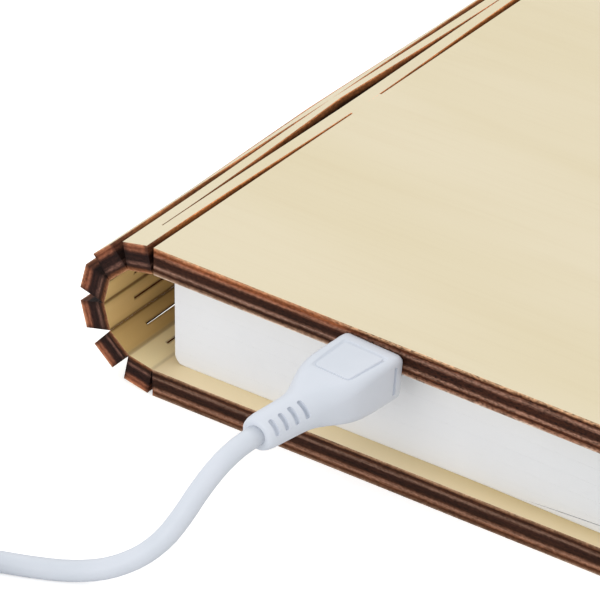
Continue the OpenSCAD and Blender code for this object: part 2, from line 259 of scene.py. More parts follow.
# %% Shader sums
class Flow:
    """A socket of a node tree that takes part in sums."""

    def __init__(self, tree, value=0):
        self.tree = tree
        self.value = value

    def node(self, kind, settings=None, output=0, **inputs):
        """Adds a node, sets it, feeds its inputs and returns one of its outputs."""
        made = self.tree.nodes.new("ShaderNode" + kind)
        for key, value in (settings or {}).items():
            if key == "stops":
                ramp = made.color_ramp
                for extra in value[1:-1]:
                    ramp.elements.new(extra[0])
                for element, (place, colour) in zip(ramp.elements, value):
                    element.position = place
                    element.color = (*colour, 1)
            else:
                setattr(made, key, value)
        for key, value in inputs.items():
            self.feed(made.inputs[int(key[1:]) if key[1:].isdigit() else key], value)
        return Flow(self.tree, made.outputs[output] if made.outputs else None)

    def feed(self, socket, value):
        value = value.value if isinstance(value, Flow) else value
        if isinstance(value, bpy.types.NodeSocket):
            self.tree.links.new(value, socket)
        elif isinstance(value, tuple) and len(socket.default_value) == 4:
            socket.default_value = (*value, 1)
        else:
            socket.default_value = value

    def math(self, operation, *values):
        return self.node("Math", {"operation": operation},
                         **{f"i{n}": value for n, value in enumerate(values)})

    def __add__(self, other):
        return self.math("ADD", self, other)

    def __sub__(self, other):
        return self.math("SUBTRACT", self, other)

    def __mul__(self, other):
        return self.math("MULTIPLY", self, other)

    def __rsub__(self, other):
        return self.math("SUBTRACT", other, self)

    __radd__ = __add__
    __rmul__ = __mul__

    def between(self, low, high, at_low=0, at_high=1):
        """Rises smoothly from at_low to at_high as this goes from low to high."""
        return self.node("MapRange", {"interpolation_type": "SMOOTHSTEP"},
                         i0=self, i1=low, i2=high, i3=at_low, i4=at_high)

    def mix(self, one, two):
        """Colour one where this is 0 and colour two where it is 1."""
        return self.node("Mix", {"data_type": "RGBA"}, output=2, i0=self, i6=one, i7=two)

    def ramp(self, bands):
        """A colour that changes along the bands, each with its place from 0 to 1."""
        stops = [(at, srgb(*levels)) for at, *levels in bands]
        return self.node("ValToRGB", {"stops": stops}, i0=self)

    def noise(self, where, scale, detail=2, stretch=(1, 1, 1)):
        """Noise of about 1/scale metres, drawn out where stretch is small."""
        placed = self.node("Mapping", i0=where, i3=tuple(scale * s for s in stretch))
        return self.node("TexNoise", i0=placed, i2=1, i3=detail)

    def place(self):
        return self.node("TexCoord", output=3)

    def sheet(self):
        return self.node("Attribute", {"attribute_name": "sheet"}, output=1)

    def part(self, vector, axis):
        return self.node("SeparateXYZ", output="XYZ".index(axis), i0=vector)


def new_finish(name, colour, roughness, bump, bump_mm, specular=0.5, metallic=0):
    """A finish whose colour and bump height are functions of its Flow."""
    finish = bpy.data.materials.new(name)
    finish.use_nodes = True
    flow = Flow(finish.node_tree)
    inputs = finish.node_tree.nodes["Principled BSDF"].inputs
    flow.feed(inputs["Base Color"], colour(flow))
    relief = flow.node("Bump", Strength=1, Distance=bump_mm * MM, Height=bump(flow))
    flow.feed(inputs["Normal"], relief)
    inputs["Roughness"].default_value = roughness
    inputs["Specular IOR Level"].default_value = specular
    inputs["Metallic"].default_value = metallic
    return finish


def srgb(*levels):
    """A colour in the usual 0 to 255 levels, as the light that it reflects."""
    shares = (v / 255 for v in levels)
    return tuple(c / 12.92 if c <= 0.04045 else ((c + 0.055) / 1.055) ** 2.4 for c in shares)


def cloudy(flow, scale, one, two):
    """A colour that wanders between two in clouds of about 1/scale metres."""
    return flow.noise(flow.place(), scale, 2).between(0.3, 0.7).mix(one, two)


print("white card reflects", [round(c, 2) for c in srgb(225, 225, 225)])

# %% [markdown]
# Pale birch plywood. Its grain runs across the spine in soft clouds, a faint figure and fine fibres.
# Every piece carries its place on the flat sheet in an attribute, so the figure runs on across the
# folds. Inside, the strips are tinted warm, partly by the laser's smoke and partly as painted bounce
# light, and the first strip is painted paler, as lit more. The cover's inner face is painted paler near
# the spine and at the book's end, as painted light. The laser's soft soot lines the folds, and a darker
# edge follows each strip's own cuts.


# %% Plywood face
# The inside strips' tints along the spine: partly the laser's smoke, partly painted warm bounce light, with the
# first strip painted paler as lit more.
SLAT_TINT_AND_BOUNCE = [(0, 250, 232, 184), (0.15, 250, 232, 184), (0.185, 212, 178, 116), (0.31, 212, 178, 116),
         (0.35, 230, 194, 130), (0.5, 237, 203, 139), (1, 238, 205, 141)]


def near_line(across):
    """How far a place is from the nearest cut line: half a pitch at a strip's own cut."""
    return across.math("PINGPONG", across, PITCH / 2)


def ply_face_colour(flow):
    sheet = flow.sheet()
    across, y = flow.part(sheet, "X"), flow.part(sheet, "Y")
    cloud = flow.noise(sheet, 26, 3, (0.3, 1, 0)).between(0.35, 0.68)
    figure = flow.noise(sheet, 240, 3, (0.1, 1, 0)).between(0.45, 0.75)
    fibre = flow.noise(sheet, 1500, 2, (0.03, 1, 0)).between(0.45, 0.8)
    pale = cloud.mix(srgb(231, 219, 189), srgb(227, 214, 180))
    warm = (figure * 0.12).mix(pale, srgb(216, 198, 158))
    face = (fibre * 0.05).mix(warm, srgb(196, 172, 128))
    inside = flow.part(sheet, "Z").between(0.2 * MM, 0.1 * MM)
    in_spine = across.between(-MM, MM) * across.between(28 * MM, 26 * MM)
    slat_tint_and_bounce = (across * (1 / SPINE_W)).ramp(SLAT_TINT_AND_BOUNCE)
    # Painted light on the cover's inner face: paler near the spine, darker towards the fore edge, and paler still
    # at the book's end.
    lining_painted_light = across.between(-12 * MM, -60 * MM).mix(srgb(241, 223, 183), srgb(219, 198, 152))
    end_lit = y.between(END_Y + 3 * MM, END_Y + 0.2 * MM) * 0.55
    lining_with_end_light_painted = end_lit.mix(lining_painted_light, srgb(250, 230, 190))
    dressed = (inside * in_spine).mix(inside.mix(face, lining_with_end_light_painted), slat_tint_and_bounce)
    to_line = near_line(across)
    soot = to_line.between(0.5 * MM, 0.1 * MM) * 0.66 + to_line.between(1.3 * MM, 0.3 * MM) * 0.14
    fainter = across.between(0.5 * PITCH, 1.9 * PITCH, 0.3, 1)
    folded = across.between(-MM, -0.5 * MM) * across.between(SPINE_W + MM, SPINE_W + 0.5 * MM)
    lined = (soot * fainter * folded * inside).mix(dressed, srgb(92, 56, 2))
    by_slot = to_line.between(PITCH / 2 - 0.5 * MM, PITCH / 2 - 0.15 * MM)
    slotted = y.between(END_Y + END_BRIDGE - 0.3 * MM, END_Y + END_BRIDGE + 0.1 * MM)
    return (by_slot * slotted * in_spine * inside * 0.5).mix(lined, srgb(92, 48, 10))


def ply_face_bump(flow):
    sheet = flow.sheet()
    return flow.noise(sheet, 1500, 2, (0.03, 1, 0)) + 0.5 * flow.noise(sheet, 4000, 2, (0.2, 1, 0))


ply_face = new_finish("ply_face", ply_face_colour, 0.55, ply_face_bump, 0.012, specular=0.3)
print(ply_face.name)

# %% [markdown]
# The laser scorches the edges that it cuts. Bands show through the thickness: the face veneers stay
# lighter, the glue makes thin dark lines and the core is charred nearly black. Each ramp goes from the
# outer face, at 0, to the inner one, at 1. The spine's gap walls carry painted light and shade: their
# outer part is painted orange-brown, lightest by the front cover, with a painted highlight at the outer
# edge, and painted shade darkens them inwards. The inner part of the lower walls is painted lighter,
# as light that comes in there. By the cut lines between strips the edge is painted near black, partly
# for the laser's heavier burn there and partly as painted shade in the V between strips.

# %% Scorched edge
FRONT_NEAR = [(0, 214, 172, 132), (0.04, 192, 136, 100), (0.09, 172, 112, 76), (0.14, 140, 78, 44),
              (0.2, 132, 74, 44), (0.25, 150, 96, 72), (0.29, 144, 98, 76), (0.335, 92, 56, 40),
              (0.38, 58, 30, 20), (0.44, 52, 26, 15), (0.58, 54, 30, 20), (0.635, 98, 66, 52),
              (0.69, 146, 112, 96), (0.73, 124, 92, 76), (0.78, 68, 36, 20), (0.835, 48, 22, 8),
              (0.89, 110, 78, 58), (0.95, 152, 120, 98), (1, 210, 186, 166)]
FRONT_FAR = [(0, 206, 168, 132), (0.05, 186, 146, 112), (0.1, 128, 86, 58), (0.145, 50, 18, 2),
             (0.18, 80, 42, 24), (0.225, 120, 84, 68), (0.29, 136, 102, 86), (0.34, 98, 66, 52),
             (0.39, 58, 30, 20), (0.44, 52, 26, 14), (0.58, 54, 28, 18), (0.625, 84, 52, 38),
             (0.675, 144, 106, 88), (0.725, 138, 102, 84), (0.775, 78, 42, 24), (0.83, 50, 19, 3),
             (0.875, 110, 72, 52), (0.91, 130, 90, 70), (0.955, 158, 122, 100), (1, 208, 182, 162)]
BACK = [(0, 176, 150, 130), (0.045, 128, 98, 78), (0.09, 104, 70, 50), (0.15, 76, 40, 20),
        (0.2, 124, 82, 60), (0.25, 154, 112, 90), (0.29, 140, 102, 82), (0.34, 98, 64, 48),
        (0.39, 60, 34, 22), (0.45, 50, 28, 18), (0.6, 52, 28, 20), (0.645, 78, 52, 40),
        (0.69, 116, 88, 74), (0.74, 110, 82, 68), (0.79, 76, 44, 28), (0.85, 46, 20, 6),
        (0.895, 98, 62, 42), (0.94, 142, 106, 80), (0.98, 160, 126, 98), (1, 196, 164, 134)]
STRIP = [(0, 208, 152, 118), (0.05, 166, 106, 76), (0.14, 122, 68, 46), (0.25, 136, 84, 62),
         (0.32, 72, 40, 30), (0.38, 44, 24, 20), (0.6, 44, 25, 20), (0.64, 84, 56, 48),
         (0.7, 116, 82, 70), (0.74, 106, 74, 62), (0.79, 52, 29, 21), (0.84, 56, 30, 18),
         (0.89, 96, 56, 34), (0.95, 128, 80, 52), (1, 168, 122, 88)]


def edge_colour(flow):
    sheet = flow.sheet()
    across, y = flow.part(sheet, "X"), flow.part(sheet, "Y")

    def wave(scale, detail, *stretch):
        return flow.noise(sheet, scale, detail, stretch) - 0.5

    sway = wave(120, 2, 1, 1, 0) * 0.04
    ragged = wave(2600, 3, 0.5, 0.5, 0.3) * 0.06
    thread = wave(3800, 2, 0.05, 0.05, 1) * 0.08
    depth = 1 - flow.part(sheet, "Z") * (1 / PLY_T) + sway + ragged + thread
    far = across.between(56 * MM, 64 * MM)
    front = far.mix(depth.ramp(FRONT_NEAR), depth.ramp(FRONT_FAR))
    covers = across.between(0, -0.4 * MM).mix(front, depth.ramp(BACK))
    to_cover = across.between(SPINE_W + 0.3 * MM, SPINE_W - 0.1 * MM)
    on_strip = across.between(-0.3 * MM, 0.1 * MM) * to_cover
    bands = on_strip.mix(covers, depth.ramp(STRIP))
    in_from_end = y.between(END_Y - 0.5 * MM, END_Y + 7 * MM)
    # Painted light: the outer part of the gap walls is painted orange-brown over the scorch bands, lightest beside
    # the front cover.
    lit_outer_wall = in_from_end * on_strip * depth.between(0.42, 0.26)
    by_cover = across.between(5.4 * PITCH, 5.8 * PITCH)
    walls_painted_light = (lit_outer_wall * 0.75).mix(bands, by_cover.mix(srgb(154, 98, 54), srgb(212, 138, 72)))
    fine = wave(5200, 3, 0.3, 0.3, 1)
    speck = wave(3000, 2, 1, 1, 1)
    lines = wave(2600, 3, 0.03, 0.03, 1)
    to_line = near_line(across)
    # Painted highlight at the gap walls' outer edge, and painted shade that darkens them inwards.
    opened = y.between(END_Y + 15 * MM, END_Y + 40 * MM)
    painted_rim_highlight = depth.between(0.07, 0.01) * opened.math("MAXIMUM", opened, to_line.between(1.4 * MM, 0.8 * MM))
    painted_wall_shade = depth.between(0.04, 0.26, 0, 0.9) - painted_rim_highlight * 1.2
    gap_painted_light_and_shade = 1 - in_from_end * on_strip * painted_wall_shade
    grain_and_painted_gap_light = (0.98 + fine * (1.6 + far * 1.2) + speck * (0.8 + far * 0.6) + lines * 1.5) * gap_painted_light_and_shade
    grained_with_painted_light = flow.node("VectorMath", {"operation": "SCALE"}, i0=walls_painted_light, Scale=grain_and_painted_gap_light)
    # Painted near black by the cut lines between strips: partly the laser's heavier burn, partly painted shade in
    # the V between strips.
    by_cut = to_line.between(0.9 * MM, 0.1 * MM) * on_strip
    deep = depth.between(1, 0.75, 0, 0.6) * (1 - lit_outer_wall * 0.9)
    burnt_and_shaded = (by_cut * deep).mix(grained_with_painted_light, srgb(26, 13, 10))
    # Painted light: the inner part of the lower strips' walls is painted lighter brown, where light comes in
    # through the slots.
    lower = across.between(4.4 * PITCH, 4 * PITCH) * on_strip
    inner_wall_painted_light = y.between(END_Y + 6 * MM, END_Y + 6.5 * MM) * depth.between(0.6, 0.85) * lower
    return (inner_wall_painted_light * 0.8).mix(burnt_and_shaded, srgb(158, 96, 52))


def edge_bump(flow):
    return flow.noise(flow.sheet(), 900, 3, (1, 1, 4))


scorched_edge_with_painted_light = new_finish("scorched_edge_with_painted_light", edge_colour, 0.62, edge_bump, 0.04, specular=0.1)
print(scorched_edge_with_painted_light.name, "bands", len(FRONT_NEAR))

# %% [markdown]
# What is done to many pieces gets a short name: selecting, cutting new edges and giving a finish.


# %% Helpers for pieces
def pick(*pieces):
    """Selects these pieces only, and makes the last one active."""
    bpy.ops.object.select_all(action="DESELECT")
    for piece in pieces:
        piece.select_set(True)
        bpy.context.view_layer.objects.active = piece


def dress(piece, *finishes):
    """Gives a piece these finishes in place of its own."""
    piece.data.materials.clear()
    for finish in finishes:
        piece.data.materials.append(finish)


def to_mode(mode):
    bpy.ops.object.mode_set(mode=mode)


def apply_place():
    """Moves the selection's place, turn and size into its points."""
    bpy.ops.object.transform_apply(location=True, rotation=True, scale=True)


def stands_for(piece, node, body):
    """Puts a piece in a CAD node's place, on its body."""
    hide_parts(node)
    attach(piece, body)


def new_block(middle, size):
    bpy.ops.mesh.primitive_cube_add(size=1, location=middle, scale=size)
    apply_place()
    return bpy.context.object


def select_points(action="SELECT"):
    bpy.ops.mesh.select_all(action=action)


def cut_edges(place, direction):
    select_points()
    bpy.ops.mesh.bisect(plane_co=place, plane_no=direction)


def ply_finish_of(normal, out):
    """Finish 0 on the plywood's two broad faces, and 1 on what was cut."""
    return 0 if abs(normal.dot(out)) > 0.7 else 1


print("helpers ready")


# %% [markdown]
# A cover is a flat board. Its CAD solid has the right shape, pockets included, so a merged copy of it
# gets its place on the flat sheet and two finishes, for its faces and for what was cut.

# %% Covers
def finish_ply(board, panel):
    """Gives a board along a panel its place on the flat sheet and its two finishes."""
    mesh = board.data
    # The back cover, panel 0, and the first strip, panel 1, both start at the first cut line.
    lines_before = max(panel - 1, 0)
    start, angle = PIVOTS[lines_before], way(panel)
    ahead = Vector((cos(angle), 0, sin(angle)))
    out = Vector((-sin(angle), 0, cos(angle)))
    place = mesh.attributes.new("sheet", "FLOAT_VECTOR", "POINT")
    for vertex, entry in zip(mesh.vertices, place.data):
        step = vertex.co - start
        entry.vector = (step.dot(ahead) + lines_before * PITCH, vertex.co.y, step.dot(out))
    dress(board, ply_face, scorched_edge_with_painted_light)
    for face in mesh.polygons:
        face.material_index = ply_finish_of(face.normal, out)


def merged_copy(node, name):
    """A copy of a CAD node, its loose triangles merged into faces."""
    piece = new_piece(name, frame["nodes"][node].data.copy())
    pick(piece)
    to_mode("EDIT")
    select_points()
    bpy.ops.mesh.remove_doubles(threshold=0.002 * MM)
    bpy.ops.mesh.dissolve_limited(angle_limit=radians(0.5))
    to_mode("OBJECT")
    piece.data.shade_flat()
    return piece


def add_tabs(board):
    """The two bridges from the front board out to its cut line."""
    for y in (BOOK_L / 4, BOOK_L * 3 / 4):
        tab = new_block((COVER_GAP / 2, END_Y + y, PLY_T / 2), (COVER_GAP, MID_BRIDGE, PLY_T))
        for vertex in tab.data.vertices:
            vertex.co = from_sheet(7, *vertex.co)
        pick(tab, board)
        bpy.ops.object.join()


for panel, body in ((0, "back_cover"), (7, "front_cover")):
    cover = merged_copy(body, body.replace("cover", "board"))
    if panel:
        add_tabs(cover)
    finish_ply(cover, panel)
    stands_for(cover, body, body)
    print(cover.name, len(cover.data.polygons), "faces")

# %% [markdown]
# The spine is a living hinge. A cut line between two strips is bridged twice along its length, and each
# strip's own pair of cuts is bridged at the ends and in the middle. Between bridges the wood is a thin
# bar that twists, half a strip wide. One such bar is modelled flat for each kind of place.

# %% Half a strip, flat
LINE_BRIDGE = BOOK_L / 4
HALF_W = (PITCH - KERF) / 2
CUT_FLARE = 0.03 * MM
TWIST_STEPS = 12


def flat_bar(name, first_y):
    """A bar from a strip's own bridge at first_y to the middle of the cut line's bridge, where a tab
    reaches the line. X is the distance from it."""
    tab_y = LINE_BRIDGE - MID_BRIDGE / 2
    bar = new_block(((LINE_GAP / 2 + HALF_W) / 2, (first_y + LINE_BRIDGE) / 2, PLY_T / 2),
                    (HALF_W - LINE_GAP / 2, LINE_BRIDGE - first_y, PLY_T))
    bar.name = name
    to_mode("EDIT")
    for k in range(1, TWIST_STEPS + 1):
        cut_edges((0, first_y + (tab_y - first_y) * k / TWIST_STEPS, 0), (0, 1, 0))
    select_points("DESELECT")
    to_mode("OBJECT")
    for vertex in bar.data.vertices:
        if vertex.co.x > HALF_W / 2:
            vertex.co.x -= CUT_FLARE * (1 - vertex.co.z / PLY_T)
    for face in bar.data.polygons:
        face.select = face.center.x < LINE_GAP / 2 + 1e-6 and face.center.y > tab_y
    to_mode("EDIT")
    bpy.ops.mesh.select_mode(type="FACE")
    bpy.ops.mesh.extrude_region_move(TRANSFORM_OT_translate={"value": (-LINE_GAP / 2, 0, 0)})
    to_mode("OBJECT")
    return bar


end_bar = flat_bar("end_bar", END_BRIDGE)
mid_bar = flat_bar("mid_bar", MID_BRIDGE / 2)
print("bars", len(end_bar.data.polygons), len(mid_bar.data.polygons), "faces")


# %% [markdown]
# Copies of the bars are laid along the folded sheet. Each point turns by its own share of the fold, so
# a bar twists smoothly between bridges.


# %% Laying the bars
def lay_bar(strip, far_line, quarter):
    """Copies a bar into its place on a strip, turned with its bridged cut line."""
    line = strip if far_line else strip - 1
    share = 1 if line in (0, 6) else 0.5
    bar, first_y = (end_bar, END_BRIDGE) if quarter in (0, 3) else (mid_bar, MID_BRIDGE / 2)
    backwards = quarter in (1, 3)
    mesh = bar.data.copy()
    piece = new_piece(f"spine_bar_{strip}_{int(far_line)}_{quarter}", mesh)
    place = mesh.attributes.new("sheet", "FLOAT_VECTOR", "POINT")
    origin = END_Y + BOOK_L / 2 * ((quarter + 1) // 2)

    def real(y):
        return origin - y if backwards else origin + y

    pivot = PIVOTS[line]
    for vertex, entry in zip(mesh.vertices, place.data):
        across, y, height = vertex.co
        turned = smooth_step((y - first_y) / (LINE_BRIDGE - first_y) * share) * radians(FOLD[line])
        along = PITCH - across if far_line else across
        entry.vector = (along + (strip - 1) * PITCH, real(y), height)
        step = from_sheet(strip, along, real(y), height) - pivot
        a = -turned if far_line else turned
        vertex.co = (pivot.x + step.x * cos(a) - step.z * sin(a), real(y),
                     pivot.z + step.x * sin(a) + step.z * cos(a))
    if far_line != backwards:
        mesh.flip_normals()
    dress(piece, ply_face, scorched_edge_with_painted_light)
    for face, flat in zip(mesh.polygons, bar.data.polygons):
        face.material_index = ply_finish_of(flat.normal, Vector((0, 0, 1)))
    end_y = real(first_y + (LINE_BRIDGE - first_y) / share)
    real(first_y)
    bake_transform(piece)
    return piece


bars = [lay_bar(strip, far_line, quarter)
        for strip in range(1, 7) for far_line in (False, True) for quarter in range(4)]
bpy.data.objects.remove(end_bar)
bpy.data.objects.remove(mid_bar)
print("bars laid", len(bars))


# %% [markdown]
# Each strip is whole at its ends and in its middle. These three rigid blocks stand for the CAD strip.

# %% The strips' own bridges
BRIDGES = ((0, END_BRIDGE), ((BOOK_L - MID_BRIDGE) / 2, (BOOK_L + MID_BRIDGE) / 2),
           (BOOK_L - END_BRIDGE, BOOK_L))
for strip in range(1, 7):
    pick(*[new_block((PITCH / 2, END_Y + (y0 + y1) / 2, PLY_T / 2), (PITCH - LINE_GAP, y1 - y0, PLY_T))
           for y0, y1 in BRIDGES])
    bpy.ops.object.join()
    bridges = bpy.context.object
    bridges.name = f"spine_bridges_{strip}"
    for vertex in bridges.data.vertices:
        vertex.co = from_sheet(strip, *vertex.co)
    finish_ply(bridges, strip)
    stands_for(bridges, f"spine_strip_{strip}", CHAIN[strip])
print("spine blocks", strip * len(BRIDGES))

# %% [markdown]
# White spun-fibre paper: matt, nearly smooth, with a faint felt of fibres. Beyond the plug it is
# painted darker towards the fore edge, as painted shade.


# %% Paper
def paper_colour(flow):
    clouded = cloudy(flow, 60, srgb(235, 236, 238), srgb(231, 232, 234))
    # Painted shade: the paper is painted darker towards the fore edge, beyond the plug.
    fore = flow.part(flow.place(), "X").between(HINGE_X + 46 * MM, HINGE_X + 76 * MM)
    return (fore * 0.75).mix(clouded, srgb(223, 225, 227))


def paper_bump(flow):
    return flow.noise(flow.place(), 900, 4)


paper = new_finish("paper", paper_colour, 0.75, paper_bump, 0.02, specular=0.2)
print(paper.name)

# %% [markdown]
# The pleated paper is a bellows: a stack of folds with a hollow in the middle for the light. Pressed
# flat it is a smooth white block. Each of its layers turns with one body of the spine, and is as thick
# as the share of the opening that this body takes.

# %% Places in the paper block
pack_lo, pack_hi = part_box("pleat_pack_3")
DEPTH = 28 * MM
SHARE = [0] + [(sum(FOLD[:k - 1]) + sum(FOLD[:k])) / 2 / sum(FOLD) for k in range(1, 8)] + [1]
TAPER = tan(-way(7))
NEAR_X, NEAR_Y = pack_lo.x + MM, pack_lo.y + MM
BLOCK_MID = (pack_lo + pack_hi) / 2
BLOCK_SIZE = pack_hi - pack_lo
SEAM = 0.003 * MM
POCKET = 0.15 * MM
CORNER_R = 1.8 * MM
END_SHEET, BOW, BOW_FROM_MM, PARTING, FULLNESS = 0.3 * MM, 1.2 * MM, 60, 0.12 * MM, 0.5 * MM


def block_z(share, x):
    """The height of a layer of the block, at a place across it."""
    ceiling = PIVOTS[6].z - TAPER * (x - PIVOTS[6].x)
    return PLY_T + share * (ceiling - PLY_T)


def ramped(x, start_mm, width_mm):
    """How far a place is along a stretch that starts this far from the first cut line."""
    return clamped((x - HINGE_X - start_mm * MM) / (width_mm * MM))


def sheet_top(x):
    """The height of the lower end sheet's top, which bows up towards the fore edge."""
    return PLY_T + END_SHEET + BOW * sin(pi / 2 * ramped(x, BOW_FROM_MM, 20))


def parting(x):
    """The gap between the bowed end sheet and the folds on it."""
    return PARTING * smooth_step(ramped(x, BOW_FROM_MM, 8))


def fullness(x):
    """How far the pressed folds stand out at the near end, away from the plug."""
    return FULLNESS * smooth_step(ramped(x, 50, 26))


def corner_in(above):
    """How far the block's rounded lower corner stands back at this height."""
    return CORNER_R - sqrt(CORNER_R ** 2 - (CORNER_R - above) ** 2)


def new_plan(name, size):
    """A flat rectangle under the block's middle, left open for editing."""
    bpy.ops.mesh.primitive_plane_add(size=1, location=(BLOCK_MID.x, BLOCK_MID.y, 0))
    plan = bpy.context.object
    plan.name = name
    plan.scale = (size.x, size.y, 1)
    apply_place()
    to_mode("EDIT")
    return plan


print("layers at", [round(share, 3) for share in SHARE])


# %% [markdown]
# A pack is a frame of pressed folds. It is drawn one high and then fitted into its layer.

# %% Packs of folds
POCKET_RIM = 0.8 * MM
MARK = 100
BOW_CUTS = range(40, 89, 4)


def folded_pack(number):
    """A pack one high. Each flat side has a pocket for the next pleats, whose points are sent far off
    until settle_pack brings them back."""
    pack = new_plan(f"paper_pack_{number}", BLOCK_SIZE)
    bpy.ops.mesh.inset(thickness=DEPTH)
    bpy.ops.mesh.delete(type="FACE")
    for x in BOW_CUTS:
        cut_edges((HINGE_X + x * MM, 0, 0), (1, 0, 0))
    select_points()
    bpy.ops.mesh.extrude_region_move(TRANSFORM_OT_translate={"value": (0, 0, 1)})
    select_points()
    bpy.ops.mesh.normals_make_consistent(inside=False)
    for height in (0.2, 0.4, 0.6, 0.8) if number == 1 else ():
        cut_edges((0, 0, height), (0, 0, 1))
    for height in (0, 1):
        select_points("DESELECT")
        bpy.ops.mesh.select_mode(type="FACE")
        to_mode("OBJECT")
        for face in pack.data.polygons:
            face.select = abs(face.normal.z) > 0.9 and abs(face.center.z - height) < 0.01
        to_mode("EDIT")
        bpy.ops.mesh.inset(thickness=POCKET_RIM)
        bpy.ops.transform.translate(value=(0, 0, -MARK if height else MARK))
    to_mode("OBJECT")
    return pack


def settle_pack(pack, number):
    """Moves a pack's points to their real heights in the wedge-shaped block."""
    for vertex in pack.data.vertices:
        x, y, level = vertex.co
        dip = 0
        if abs(level) > MARK / 2:
            level, dip = (0, POCKET) if level > 0 else (1, -POCKET)
        low, high = block_z(SHARE[number], x) + SEAM, block_z(SHARE[number + 1], x) - SEAM
        if number == 1:
            low = sheet_top(x) + SEAM
        z = low + (high - low) * level + dip
        if z - PLY_T < CORNER_R and x < NEAR_X and not dip:
            x += corner_in(z - PLY_T)
        if y < NEAR_Y:
            y -= fullness(x)
        vertex.co = (x, y, z)


for number in range(1, 7):
    pack = folded_pack(number)
    settle_pack(pack, number)
    dress(pack, paper)
    stands_for(pack, f"pleat_pack_{number}", CHAIN[number])
print("packs", number, "faces each", len(pack.data.polygons))

# %% [markdown]
# An end sheet is glued to each cover. The lower one has a rounded corner, a foot that tucks in a little
# and a slight bow away from the spine, where a thin shadow line shows.

# %% End sheets
FOOT = 0.22 * MM
TUCK = 0.15 * MM
SOCKET_NOTCH = 7.7 * MM
socket_lo, socket_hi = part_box("usb_socket")
SOCKET_MID = (socket_lo + socket_hi) / 2
for node, body in (("back_end_sheet", "back_cover"), ("front_end_sheet", "front_cover")):
    sheet = merged_copy(node, node.replace("sheet", "paper"))
    if body == "back_cover":
        to_mode("EDIT")
        for x in (*BOW_CUTS, 92):
            cut_edges((HINGE_X + x * MM, 0, 0), (1, 0, 0))
        cut_edges((0, 0, PLY_T + FOOT), (0, 0, 1))
        to_mode("OBJECT")
        for vertex in sheet.data.vertices:
            point = vertex.co
            above = point.z - PLY_T
            if point.x < NEAR_X:
                point.x += corner_in(above)
            if above < 0.1 * MM:
                point.y += TUCK * (1 if point.y < BLOCK_MID.y else -1)
            elif above > FOOT * 1.2:
                point.z = sheet_top(point.x) - SEAM - parting(point.x)
            if point.y < NEAR_Y:
                point.y -= fullness(point.x)
    else:
        for vertex in sheet.data.vertices:
            from_socket = vertex.co.x - SOCKET_MID.x
            if abs(from_socket) < 5 * MM and vertex.co.y < BLOCK_MID.y:
                vertex.co.x = SOCKET_MID.x + copysign(SOCKET_NOTCH / 2, from_socket)
    dress(sheet, paper)
    stands_for(sheet, node, body)
print("end sheets", len(sheet.data.polygons), "faces in the front one")

# %% [markdown]
# Between two packs the paper is folded to and fro, and opening the book spreads these pleats like a
# fan. Closed, they lie flat in the pockets. They are extruded as a bellows is: a loop of edges is drawn
# out, shrunk to the hollow's size, drawn out and grown again.


# %% Pleats
FOLD_PER_PLEAT = 9
PLEAT_IN, FOLD_SHORT, LEAF_T, PLAY = 2.2 * MM, 2 * MM, 0.002 * MM, 0.02 * MM


def unsmooth(share):
    """The t at which smooth_step gives this share."""
    low, high = 0, 1
    for _ in range(40):
        middle = (low + high) / 2
        low, high = (middle, high) if smooth_step(middle) < share else (low, middle)
    return low


def pleats(number):
    """The folds between two packs."""
    count = 2 * max(1, round(FOLD[number - 1] / FOLD_PER_PLEAT))
    size = BLOCK_SIZE - Vector((PLEAT_IN, PLEAT_IN, 0))
    hollow = [1 - 2 * (DEPTH - FOLD_SHORT) / side for side in size.xy]
    fan = new_plan(f"pleats_{number}", size)
    bpy.ops.mesh.select_mode(type="EDGE")
    select_points()
    bpy.ops.mesh.delete(type="ONLY_FACE")
    select_points()
    for step in range(count):
        bpy.ops.mesh.extrude_edges_move(TRANSFORM_OT_translate={"value": (0, 0, 1)})
        inwards = step % 2 == 0
        bpy.ops.transform.resize(value=(*(share if inwards else 1 / share for share in hollow), 1))
    to_mode("OBJECT")
    room = 2 * (POCKET - PLAY)
    for vertex in fan.data.vertices:
        folded = unsmooth(vertex.co.z / count) - 0.5
        vertex.co.z = block_z(SHARE[number], vertex.co.x) + room * folded
    thicken = fan.modifiers.new("paper", "SOLIDIFY")
    thicken.thickness = LEAF_T
    thicken.offset = 0
    bpy.ops.object.modifier_apply(modifier=thicken.name)
    dress(fan, paper)
    return fan


for number in range(1, 8):
    fan = pleats(number)
    middle = Vector((BLOCK_MID.x, BLOCK_MID.y, block_z(SHARE[number], BLOCK_MID.x)))
    across = Vector((SHARE[number] * TAPER, 0, 1)) * (POCKET - PLAY)
    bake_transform(fan)
print("pleats", number)

# %% [markdown]
# The lead is moulded in one slightly blue white plastic. The coil's strap is woven, and everything else
# is plain plastic or metal whose colour wanders a little.


# %% Plastic and metal
def lead_colour(flow):
    return cloudy(flow, 120, srgb(218, 223, 232), srgb(213, 219, 228))


def fine_bump(flow):
    return flow.noise(flow.place(), 2500, 2)


lead_plastic = new_finish("lead_plastic", lead_colour, 0.42, fine_bump, 0.008, specular=0.4)
dress(cable, lead_plastic)


def woven_bump(flow):
    place = flow.place()
    return flow.noise(place, 2400, 1, (1, 0.15, 0.15)) + flow.noise(place, 2400, 1, (0.15, 1, 1))


def strap_colour(flow):
    return woven_bump(flow).between(0.7, 1.3).mix(srgb(48, 50, 54), srgb(78, 80, 85))


def plain_finish(name, levels, rough, metallic=0):
    """A moulded or stamped finish whose colour wanders a little."""
    def colour(flow):
        return cloudy(flow, 150, srgb(*levels), tuple(c * 0.9 for c in srgb(*levels)))
    return new_finish(name, colour, rough, fine_bump, 0.01, metallic=metallic)


